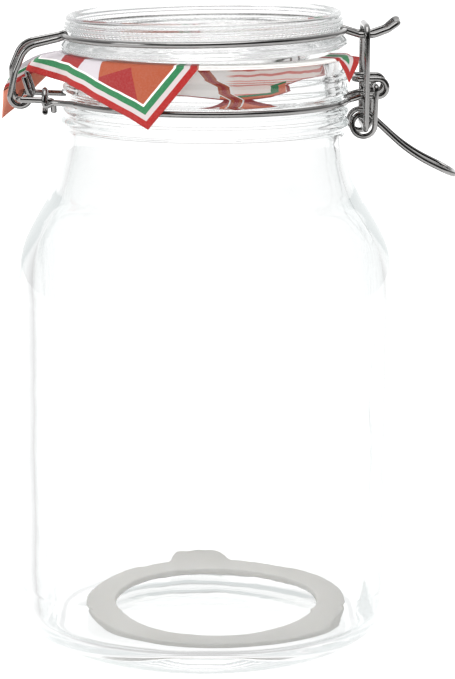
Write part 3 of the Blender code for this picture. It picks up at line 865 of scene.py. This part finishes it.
def build_gasket(rubber):
    """A flat moulded ring with soft edges and a pull tab, lying almost flat on the floor of the jar."""
    front = Vector(((GASKET_LOW.x + GASKET_HIGH.x) / 2, GASKET_LOW.y, GASKET_LOW.z))
    centre = Vector((0, GASKET_OUTER, 0))
    low, high = 0.0, GASKET_THICKNESS
    edge = 0.7 * MM
    count = 288
    bm = bmesh.new()
    rings = []
    for i in range(count):
        turn = 2 * math.pi * i / count
        from_tab = abs(math.degrees(math.atan2(math.cos(turn), math.sin(turn))) + TAB_TURN_DEG)
        tab = 1 - rise(from_tab, 6.5, 15.5)
        outer = GASKET_OUTER + TAB_HEIGHT * tab - 0.5 * MM * tab * rise(from_tab, 0, 8)
        inner = GASKET_INNER + 0.3 * MM * math.sin(3 * turn + 0.4)
        lift = 0.3 * MM * (0.5 + 0.5 * math.sin(2 * turn + 1.1))
        section = []
        corners = ((outer, high, 0), (inner, high, 90), (inner, low, 180), (outer, low, 270))
        for corner_r, corner_z, start in corners:
            inward_r = -edge if corner_r == outer else edge
            inward_z = -edge if corner_z == high else edge
            for step in range(5):
                angle = math.radians(start + 90 * step / 4)
                section.append(
                    (
                        corner_r + inward_r + edge * math.cos(angle),
                        corner_z + inward_z + edge * math.sin(angle) + lift,
                    )
                )
        rings.append(
            [bm.verts.new(centre + Vector((r * math.cos(turn), r * math.sin(turn), z))) for r, z in section]
        )
    for i in range(count):
        near, far = rings[i], rings[(i + 1) % count]
        for k in range(len(near)):
            m = (k + 1) % len(near)
            bm.faces.new((near[k], near[m], far[m], far[k]))
    prop = Matrix.Translation(front) @ Matrix.Rotation(TAB_PROP, 4, "X")
    bmesh.ops.transform(bm, matrix=prop, verts=bm.verts)
    bmesh.ops.recalc_face_normals(bm, faces=bm.faces)
    mesh = bpy.data.meshes.new("sealing_ring")
    bm.to_mesh(mesh)
    bm.free()
    return show("sealing_ring", mesh, [rubber], "gasket", "gasket")


# Leaflet -------------------------------------------------------------------------------------------

TIP = 248
CREASE = 197
CORNER = 337
RIM_INDEX = 25
FAR_OFF = 50.0
OUTER_HEM = (
    (146, 53.4, 218.5),
    (156, 58.0, 214.5),
    (162, 70.5, 199.0),
    (168.5, 76.5, 192.5),
    (169.2, 76.0, 203.0),
    (169.9, 62.5, 211.0),
    (174, 60.0, 214.0),
    (178, 65.5, 213.5),
    (183, 65.5, 212.5),
    (187, 61.5, 211.8),
    (192, 55.6, 210.2),
    (204, 54.7, 210.2),
    (216, 54.8, 208.2),
    (228, 54.8, 204.9),
    (240, 54.9, 200.6),
    (TIP, 55.0, 196.9),
    (266, 53.6, 218.0),
    (333, 53.4, 218.5),
    (CORNER, 56.0, 210.3),
    (345, 57.0, 216.5),
    (351, 56.5, 218.3),
    (353, 53.4, 218.6),
)
INNER_HEM = (
    (146, 44.0, 215.5),
    (200, 43.6, 214.0),
    (235, 43.2, 210.0),
    (262, 43.2, 208.0),
    (283, 43.2, 204.8),
    (300, 43.4, 206.5),
    (318, 43.8, 213.0),
    (353, 44.0, 216.0),
)


def between(azimuth, stations):
    """Linear interpolation in a list of (azimuth, value, ...) stations."""
    for first, last in zip(stations, stations[1:]):
        if azimuth <= last[0]:
            share = (azimuth - first[0]) / (last[0] - first[0])
            return [a + (b - a) * share for a, b in zip(first[1:], last[1:])]
    return list(stations[-1][1:])


def sheet_profile(azimuth):
    """(radius, height) in millimetres: up from the inner hem, over the rim, down to the outer hem."""
    in_r, in_z = between(azimuth, INNER_HEM)
    out_r, out_z = between(azimuth, OUTER_HEM)
    rim = SHEET_Z / MM
    profile = [(in_r + (44.4 - in_r) * i / 14, in_z + (rim - 1.6 - in_z) * i / 14) for i in range(14)]
    profile += [(44.4, rim - 1.6), (44.7, rim - 0.7), (45.3, rim - 0.15)]
    profile += [(46.0 + 6.2 * i / 6, rim) for i in range(7)]
    profile += [(52.9, rim - 0.25), (53.2, rim - 0.75)]
    start = (53.2, rim - 0.75)
    bend = (53.2 + (out_r - 53.2) * 0.8, rim - 0.75 + (out_z - rim + 0.75) * 0.12)
    steps = 22
    for i in range(1, steps + 1):
        t = i / steps
        profile.append(
            tuple(
                (1 - t) ** 2 * a + 2 * t * (1 - t) * b + t * t * c
                for a, b, c in zip(start, bend, (out_r, out_z))
            )
        )
    return profile, RIM_INDEX


def distance_to(point, path):
    """How far a flat point is from a chain of points."""
    nearest = 1e9
    for a, b in zip(path, path[1:]):
        run = (b[0] - a[0], b[1] - a[1])
        size = run[0] ** 2 + run[1] ** 2
        share = ((point[0] - a[0]) * run[0] + (point[1] - a[1]) * run[1]) / size
        share = max(0.0, min(1.0, share))
        gap = math.hypot(point[0] - a[0] - run[0] * share, point[1] - a[1] - run[1] * share)
        nearest = min(nearest, gap)
    return nearest


def extended(path, before, after):
    """The chain with its first and last runs drawn out by these lengths."""
    first = Vector(path[0]) + (Vector(path[0]) - Vector(path[1])).normalized() * before
    last = Vector(path[-1]) + (Vector(path[-1]) - Vector(path[-2])).normalized() * after
    return [tuple(first)] + list(path) + [tuple(last)]


def build_leaflet(paper, reverse):
    """One sheet with four corners out of the rim. Each point knows its way to the hems, for the border."""
    azimuths = sorted({146 + i for i in range(208)} | {station[0] for station in OUTER_HEM})
    per_degree = math.radians(1) * 54.0
    flat, places = [], []
    for azimuth in azimuths:
        profile, rim_index = sheet_profile(azimuth)
        drops = [0.0] * len(profile)
        for i in range(rim_index + 1, len(profile)):
            drops[i] = drops[i - 1] + math.dist(profile[i - 1], profile[i])
        for i in range(rim_index - 10, -1, -1):
            drops[i] = drops[i + 1] + math.dist(profile[i + 1], profile[i])
        flat.append([((azimuth - TIP) * per_degree, -drop) for drop in drops])
        places.append(profile)
    hem = {azimuth: column[-1] for azimuth, column in zip(azimuths, flat)}
    left = extended([hem[a] for a in azimuths if CREASE <= a <= TIP], 30, 30)
    right = extended([hem[a] for a in azimuths if TIP <= a <= 266], 30, 30)
    corner_left = extended([hem[a] for a in azimuths if 333 <= a <= CORNER], 8, 30)
    corner_right = extended([hem[a] for a in azimuths if a >= CORNER], 30, 30)
    inner_hem = [column[0] for column in flat]

    bm = bmesh.new()
    layers = {key: bm.verts.layers.float.new(key) for key in ("hem_a", "hem_b", "spread", "drop", "inside")}
    columns = []
    for azimuth, column, profile in zip(azimuths, flat, places):
        verts = []
        for index, ((spread, fall), (radius, z)) in enumerate(zip(column, profile)):
            inside = index < rim_index - 8
            loose = rise(-fall, 0.5, 6.0)
            crumple = noise.noise(Vector((azimuth * 0.11, fall * 0.12, 3.0))) * 0.9 * loose
            if inside:
                radius -= abs(crumple) * 0.6
            else:
                radius += abs(crumple) * 0.8 + 0.25 * loose * math.sin(azimuth * 0.31)
            vert = bm.verts.new(ring_point(radius * MM, azimuth, z * MM))
            if inside:
                near_a, near_b = FAR_OFF, distance_to((spread, fall), inner_hem)
            elif azimuth < CREASE:
                near_a, near_b = fall - column[-1][1], FAR_OFF
            elif 266.5 < azimuth < 331:
                near_a, near_b = FAR_OFF, FAR_OFF
            elif azimuth < 292:
                near_a, near_b = distance_to((spread, fall), left), distance_to((spread, fall), right)
            else:
                near_a = distance_to((spread, fall), corner_left)
                near_b = distance_to((spread, fall), corner_right)
            for key, value in zip(layers, (near_a, near_b, spread, -fall, float(inside))):
                vert[layers[key]] = value
            verts.append(vert)
        columns.append(verts)
    for before, after in zip(columns, columns[1:]):
        for i in range(len(before) - 1):
            bm.faces.new((before[i], before[i + 1], after[i + 1], after[i]))
    mesh = bpy.data.meshes.new("printed_leaflet")
    bm.to_mesh(mesh)
    bm.free()
    piece = show("printed_leaflet", mesh, [paper, reverse], "jar", "leaflet")
    thick = piece.modifiers.new("Thickness", "SOLIDIFY")
    thick.thickness = SHEET
    thick.offset = 0.0
    thick.material_offset = 1
    thick.material_offset_rim = 1
    return piece


# Studio --------------------------------------------------------------------------------------------


def camera_axes(g, direction):
    """How far a direction points to the right of the camera, above it and ahead of it."""
    view = g.add("VectorTransform", vector_type="VECTOR", convert_from="WORLD", convert_to="CAMERA")
    g.feed(view.inputs[0], direction)
    axes = g.add("SeparateXYZ")
    g.feed(axes.inputs[0], view.outputs[0])
    return axes.outputs


def seen_through_glass(g, ahead):
    """The light that glass shows: white straight ahead, and less the further the glass has bent the ray."""
    return g.math("ADD", g.ramp(ahead, 0.55, 0.985, 0.62, 1.16), g.ramp(ahead, -1.0, 0.0, -0.1, 0.0))


def build_world():
    """A white studio that turns with the camera: bright ahead, grey at the sides and dark behind it."""
    world = bpy.data.worlds.new("white_studio")
    bpy.context.scene.world = world
    world.use_nodes = True
    world.cycles.sampling_method = "NONE"
    g = Graph(world.node_tree)
    rays = g.add("LightPath").outputs
    right, up, ahead = camera_axes(g, g.add("TexCoord").outputs["Generated"])
    through_glass = seen_through_glass(g, ahead)
    behind = g.math("ARCTAN2", right, g.math("MULTIPLY", ahead, -1.0))
    left_edge = g.ramp(behind, math.radians(-60), math.radians(-30))
    right_edge = g.ramp(behind, math.radians(54), math.radians(84), 1.0, 0.0)
    tall = g.ramp(g.math("ABSOLUTE", up), math.sin(math.radians(30)), math.sin(math.radians(72)), 1.0, 0.0)
    dark = g.math("MULTIPLY", g.math("MULTIPLY", left_edge, right_edge), tall)
    sides = g.math("MULTIPLY", g.ramp(g.math("ABSOLUTE", right), 0.35, 0.9), 0.75)
    mirrored_light = g.math("SUBTRACT", g.math("SUBTRACT", 1.15, sides), g.math("MULTIPLY", dark, 1.12))
    light = g.math("MAXIMUM", 0.03, mirrored_light)
    strength = g.mix(rays["Is Transmission Ray"], light, through_glass)
    after_diffuse = g.math("GREATER_THAN", rays["Diffuse Depth"], 0.5)
    strength = g.mix(after_diffuse, strength, (1.1, 1.1, 1.1))
    strength = g.mix(rays["Is Camera Ray"], strength, (1.0, 1.0, 1.0))
    background = world.node_tree.nodes["Background"]
    g.feed(background.inputs["Color"], strength)


def build_floor():
    """A glowing pale light table, with only a faint shadow. Through glass it is as bright as the studio."""
    size = 3.0
    corners = [(-size, -size, 0), (size, -size, 0), (size, size, 0), (-size, size, 0)]
    mesh = bpy.data.meshes.new("studio_floor")
    mesh.from_pydata(corners, [], [(0, 1, 2, 3)])
    floor = bpy.data.objects.new("studio_floor", mesh)
    made, g, shader = new_material("pale_floor")
    place = g.add("TexCoord").outputs["Object"]
    tone = g.mix(g.noise(place, 8.0), (0.58, 0.58, 0.58), (0.62, 0.62, 0.62))
    g.feed(shader.inputs["Base Color"], tone)
    g.feed(shader.inputs["Emission Color"], (1.0, 1.0, 1.0, 1.0))
    g.feed(shader.inputs["Emission Strength"], 0.82)
    g.feed(shader.inputs["Roughness"], 0.9)
    g.feed(shader.inputs["Specular IOR Level"], 0.0)
    away = g.add("VectorMath", operation="SCALE")
    g.feed(away.inputs[0], g.add("NewGeometry").outputs["Incoming"])
    g.feed(away.inputs["Scale"], -1.0)
    seen = g.add("Emission", {"Strength": seen_through_glass(g, camera_axes(g, away.outputs[0])[2])})
    behind_glass = g.math("GREATER_THAN", g.add("LightPath").outputs["Transmission Depth"], 0.5)
    both = g.add("MixShader", {"Fac": behind_glass})
    g.feed(both.inputs[1], shader.outputs[0])
    g.feed(both.inputs[2], seen.outputs[0])
    g.feed(made.node_tree.nodes["Material Output"].inputs["Surface"], both.outputs[0])
    mesh.materials.append(made)
    bpy.context.scene.collection.objects.link(floor)


def build_camera():
    distance, height = 1.0, 0.3185
    pitch = math.radians(11.7)
    azimuth = math.radians(1.0)
    yaw = math.radians(0.505)
    roll = math.radians(0.34)
    data = bpy.data.cameras.new("camera")
    data.sensor_width = 36
    data.lens = 144.4
    camera = bpy.data.objects.new("camera", data)
    bpy.context.scene.collection.objects.link(camera)
    place = Matrix.Rotation(-azimuth, 4, "Z") @ Matrix.Translation((0, -distance, height))
    aim = Matrix.Rotation(-yaw, 4, "Z") @ Matrix.Rotation(math.pi / 2 - pitch, 4, "X")
    camera.matrix_world = place @ aim @ Matrix.Rotation(roll, 4, "Z")
    bpy.context.scene.camera = camera


def build_lamps():
    """Two large soft lamps, for the long highlights on the wires."""
    for name, place, size, power in (
        ("top_softbox", (0.0, -0.1, 1.3), 0.9, 6.0),
        ("left_softbox", (-1.1, -0.5, 0.7), 0.6, 3.0),
    ):
        data = bpy.data.lights.new(name, "AREA")
        data.size = size
        data.energy = power
        lamp = bpy.data.objects.new(name, data)
        lamp.location = place
        lamp.rotation_euler = (Vector((0, 0, 0.15)) - Vector(place)).to_track_quat("-Z", "Y").to_euler()
        bpy.context.scene.collection.objects.link(lamp)


def main():
    jar_glass = clear_glass("jar_clear_glass", 0.18, (0.78, 0.87, 0.87), 0.82)
    lid_glass = clear_glass("lid_clear_glass", 0.10, (0.70, 0.74, 0.74), 0.6)
    steel = drawn_wire()
    build_jar(jar_glass)
    build_lid(lid_glass)
    build_wire("neck_clamp_wire", neck_wire_path(), WIRE, False, steel, "jar", "neck_wire")
    build_wire("lid_bail_wire", lid_wire_path(), WIRE, False, steel, "lid", "lid_wire", hinge_tilt())
    build_wire("closing_lever", lever_path(), LEVER_WIRE, False, steel, "lever", "lever")
    build_wire("tension_loop", link_path(), WIRE, True, steel, "link", "tension_link")
    build_gasket(pale_rubber())
    build_leaflet(printed_paper("leaflet_print", True), printed_paper("leaflet_reverse", False))
    build_world()
    build_floor()
    build_lamps()
    build_camera()
    scene = bpy.context.scene
    scene.view_settings.view_transform = "Standard"
    scene.cycles.max_bounces = 40
    scene.cycles.glossy_bounces = 24
    scene.cycles.transmission_bounces = 32


main()
